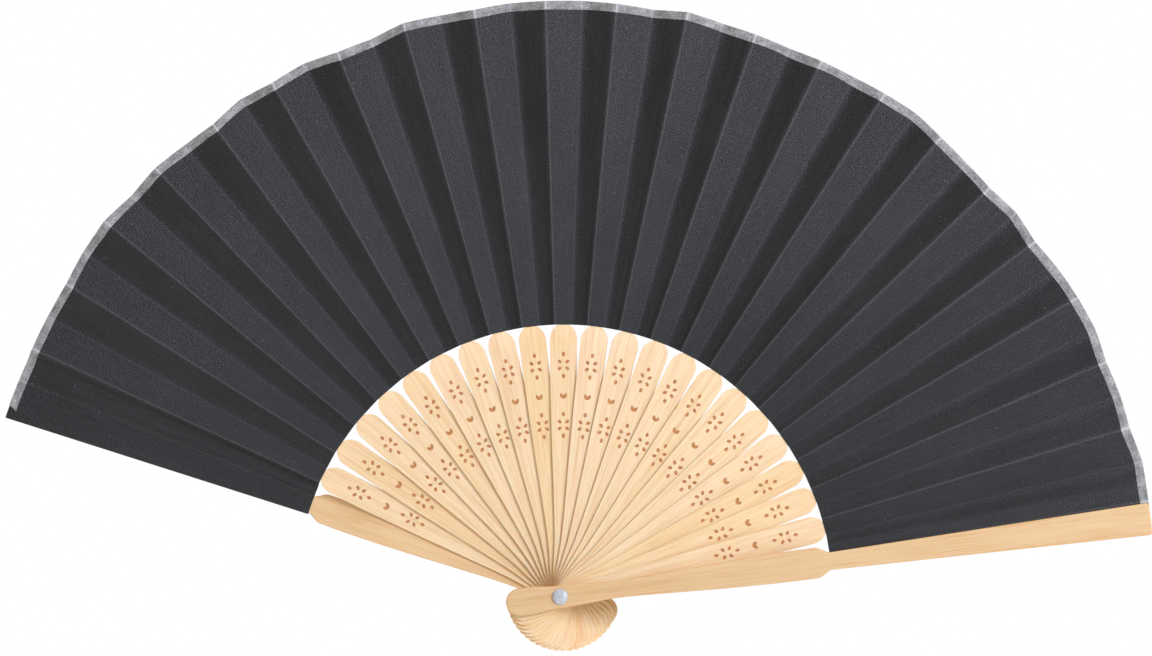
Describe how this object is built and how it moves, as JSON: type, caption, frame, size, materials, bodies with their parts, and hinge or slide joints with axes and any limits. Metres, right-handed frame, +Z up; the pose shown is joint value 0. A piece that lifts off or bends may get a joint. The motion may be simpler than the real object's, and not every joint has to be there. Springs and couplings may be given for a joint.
{
  "type": "folding hand fan",
  "caption": "Folding hand fan: pierced wooden sticks and plain outer guards turn on a rivet and spread a pleated cloth leaf into a wide arc.",
  "frame": {"origin": "on the rivet's axis, at the middle of the stack of sticks, where the hand holds the fan", "axes": "+Z up along the middle of the open fan, +Y along the rivet towards the back, +X towards the front guard's side"},
  "size_m": [0.4065, 0.0288, 0.228],
  "materials": {
    "wood": "pale, fine straight grain, satin",
    "rivet_pearl": "frosted pearl dome",
    "rivet_metal": "satin",
    "leaf_cloth": "black satin cloth, sharply pleated",
    "edge_binding": "dull silver grey ribbon"
  },
  "bodies": {
    "front_guard": {"front_guard": "wood", "rivet_pin": "rivet_pearl", "rivet_cap": "rivet_metal", "leaf_pleat_22": "leaf_cloth"},
    "stick_21": {"stick_21": "wood", "leaf_pleat_21": "leaf_cloth"},
    "stick_20": {"stick_20": "wood", "leaf_pleat_20": "leaf_cloth"},
    "stick_19": {"stick_19": "wood", "leaf_pleat_19": "leaf_cloth"},
    "stick_18": {"stick_18": "wood", "leaf_pleat_18": "leaf_cloth"},
    "stick_17": {"stick_17": "wood", "leaf_pleat_17": "leaf_cloth"},
    "stick_16": {"stick_16": "wood", "leaf_pleat_16": "leaf_cloth"},
    "stick_15": {"stick_15": "wood", "leaf_pleat_15": "leaf_cloth"},
    "stick_14": {"stick_14": "wood", "leaf_pleat_14": "leaf_cloth"},
    "stick_13": {"stick_13": "wood", "leaf_pleat_13": "leaf_cloth"},
    "stick_12": {"stick_12": "wood", "leaf_pleat_12": "leaf_cloth"},
    "stick_11": {"stick_11": "wood", "leaf_pleat_11": "leaf_cloth"},
    "stick_10": {"stick_10": "wood", "leaf_pleat_10": "leaf_cloth"},
    "stick_09": {"stick_09": "wood", "leaf_pleat_09": "leaf_cloth"},
    "stick_08": {"stick_08": "wood", "leaf_pleat_08": "leaf_cloth"},
    "stick_07": {"stick_07": "wood", "leaf_pleat_07": "leaf_cloth"},
    "stick_06": {"stick_06": "wood", "leaf_pleat_06": "leaf_cloth"},
    "stick_05": {"stick_05": "wood", "leaf_pleat_05": "leaf_cloth"},
    "stick_04": {"stick_04": "wood", "leaf_pleat_04": "leaf_cloth"},
    "stick_03": {"stick_03": "wood", "leaf_pleat_03": "leaf_cloth"},
    "stick_02": {"stick_02": "wood", "leaf_pleat_02": "leaf_cloth"},
    "stick_01": {"stick_01": "wood", "leaf_pleat_01": "leaf_cloth"},
    "rear_guard": {"rear_guard": "wood"}
  },
  "joints": [
    {"name": "fold_22", "type": "hinge", "parent": "front_guard", "child": "stick_21", "pos_m": [0, 0, 0], "axis": [0, 1, 0], "range_deg": [0, 7.25], "deforming": ["leaf_pleat_22"]},
    {"name": "fold_21", "type": "hinge", "parent": "stick_21", "child": "stick_20", "pos_m": [0, 0, 0], "axis": [0, 1, 0], "range_deg": [0, 6.72], "deforming": ["leaf_pleat_21"]},
    {"name": "fold_20", "type": "hinge", "parent": "stick_20", "child": "stick_19", "pos_m": [0, 0, 0], "axis": [0, 1, 0], "range_deg": [0, 6.74], "deforming": ["leaf_pleat_20"]},
    {"name": "fold_19", "type": "hinge", "parent": "stick_19", "child": "stick_18", "pos_m": [0, 0, 0], "axis": [0, 1, 0], "range_deg": [0, 6.76], "deforming": ["leaf_pleat_19"]},
    {"name": "fold_18", "type": "hinge", "parent": "stick_18", "child": "stick_17", "pos_m": [0, 0, 0], "axis": [0, 1, 0], "range_deg": [0, 6.79], "deforming": ["leaf_pleat_18"]},
    {"name": "fold_17", "type": "hinge", "parent": "stick_17", "child": "stick_16", "pos_m": [0, 0, 0], "axis": [0, 1, 0], "range_deg": [0, 6.81], "deforming": ["leaf_pleat_17"]},
    {"name": "fold_16", "type": "hinge", "parent": "stick_16", "child": "stick_15", "pos_m": [0, 0, 0], "axis": [0, 1, 0], "range_deg": [0, 6.83], "deforming": ["leaf_pleat_16"]},
    {"name": "fold_15", "type": "hinge", "parent": "stick_15", "child": "stick_14", "pos_m": [0, 0, 0], "axis": [0, 1, 0], "range_deg": [0, 6.85], "deforming": ["leaf_pleat_15"]},
    {"name": "fold_14", "type": "hinge", "parent": "stick_14", "child": "stick_13", "pos_m": [0, 0, 0], "axis": [0, 1, 0], "range_deg": [0, 6.88], "deforming": ["leaf_pleat_14"]},
    {"name": "fold_13", "type": "hinge", "parent": "stick_13", "child": "stick_12", "pos_m": [0, 0, 0], "axis": [0, 1, 0], "range_deg": [0, 6.9], "deforming": ["leaf_pleat_13"]},
    {"name": "fold_12", "type": "hinge", "parent": "stick_12", "child": "stick_11", "pos_m": [0, 0, 0], "axis": [0, 1, 0], "range_deg": [0, 6.92], "deforming": ["leaf_pleat_12"]},
    {"name": "fold_11", "type": "hinge", "parent": "stick_11", "child": "stick_10", "pos_m": [0, 0, 0], "axis": [0, 1, 0], "range_deg": [0, 6.94], "deforming": ["leaf_pleat_11"]},
    {"name": "fold_10", "type": "hinge", "parent": "stick_10", "child": "stick_09", "pos_m": [0, 0, 0], "axis": [0, 1, 0], "range_deg": [0, 6.96], "deforming": ["leaf_pleat_10"]},
    {"name": "fold_09", "type": "hinge", "parent": "stick_09", "child": "stick_08", "pos_m": [0, 0, 0], "axis": [0, 1, 0], "range_deg": [0, 6.99], "deforming": ["leaf_pleat_09"]},
    {"name": "fold_08", "type": "hinge", "parent": "stick_08", "child": "stick_07", "pos_m": [0, 0, 0], "axis": [0, 1, 0], "range_deg": [0, 7.01], "deforming": ["leaf_pleat_08"]},
    {"name": "fold_07", "type": "hinge", "parent": "stick_07", "child": "stick_06", "pos_m": [0, 0, 0], "axis": [0, 1, 0], "range_deg": [0, 7.03], "deforming": ["leaf_pleat_07"]},
    {"name": "fold_06", "type": "hinge", "parent": "stick_06", "child": "stick_05", "pos_m": [0, 0, 0], "axis": [0, 1, 0], "range_deg": [0, 7.05], "deforming": ["leaf_pleat_06"]},
    {"name": "fold_05", "type": "hinge", "parent": "stick_05", "child": "stick_04", "pos_m": [0, 0, 0], "axis": [0, 1, 0], "range_deg": [0, 7.07], "deforming": ["leaf_pleat_05"]},
    {"name": "fold_04", "type": "hinge", "parent": "stick_04", "child": "stick_03", "pos_m": [0, 0, 0], "axis": [0, 1, 0], "range_deg": [0, 7.09], "deforming": ["leaf_pleat_04"]},
    {"name": "fold_03", "type": "hinge", "parent": "stick_03", "child": "stick_02", "pos_m": [0, 0, 0], "axis": [0, 1, 0], "range_deg": [0, 7.12], "deforming": ["leaf_pleat_03"]},
    {"name": "fold_02", "type": "hinge", "parent": "stick_02", "child": "stick_01", "pos_m": [0, 0, 0], "axis": [0, 1, 0], "range_deg": [0, 7.14], "deforming": ["leaf_pleat_02"]},
    {"name": "fold_01", "type": "hinge", "parent": "stick_01", "child": "rear_guard", "pos_m": [0, 0, 0], "axis": [0, 1, 0], "range_deg": [0, 6.8], "deforming": ["leaf_pleat_01"]}
  ],
  "couplings": [
    {"joint": "fold_21", "follows": "fold_22", "ratio": 0.92703},
    {"joint": "fold_20", "follows": "fold_22", "ratio": 0.93007},
    {"joint": "fold_19", "follows": "fold_22", "ratio": 0.9331},
    {"joint": "fold_18", "follows": "fold_22", "ratio": 0.93614},
    {"joint": "fold_17", "follows": "fold_22", "ratio": 0.93917},
    {"joint": "fold_16", "follows": "fold_22", "ratio": 0.94221},
    {"joint": "fold_15", "follows": "fold_22", "ratio": 0.94524},
    {"joint": "fold_14", "follows": "fold_22", "ratio": 0.94828},
    {"joint": "fold_13", "follows": "fold_22", "ratio": 0.95131},
    {"joint": "fold_12", "follows": "fold_22", "ratio": 0.95434},
    {"joint": "fold_11", "follows": "fold_22", "ratio": 0.95738},
    {"joint": "fold_10", "follows": "fold_22", "ratio": 0.96041},
    {"joint": "fold_09", "follows": "fold_22", "ratio": 0.96345},
    {"joint": "fold_08", "follows": "fold_22", "ratio": 0.96648},
    {"joint": "fold_07", "follows": "fold_22", "ratio": 0.96952},
    {"joint": "fold_06", "follows": "fold_22", "ratio": 0.97255},
    {"joint": "fold_05", "follows": "fold_22", "ratio": 0.97559},
    {"joint": "fold_04", "follows": "fold_22", "ratio": 0.97862},
    {"joint": "fold_03", "follows": "fold_22", "ratio": 0.98166},
    {"joint": "fold_02", "follows": "fold_22", "ratio": 0.98469},
    {"joint": "fold_01", "follows": "fold_22", "ratio": 0.93793}
  ]
}
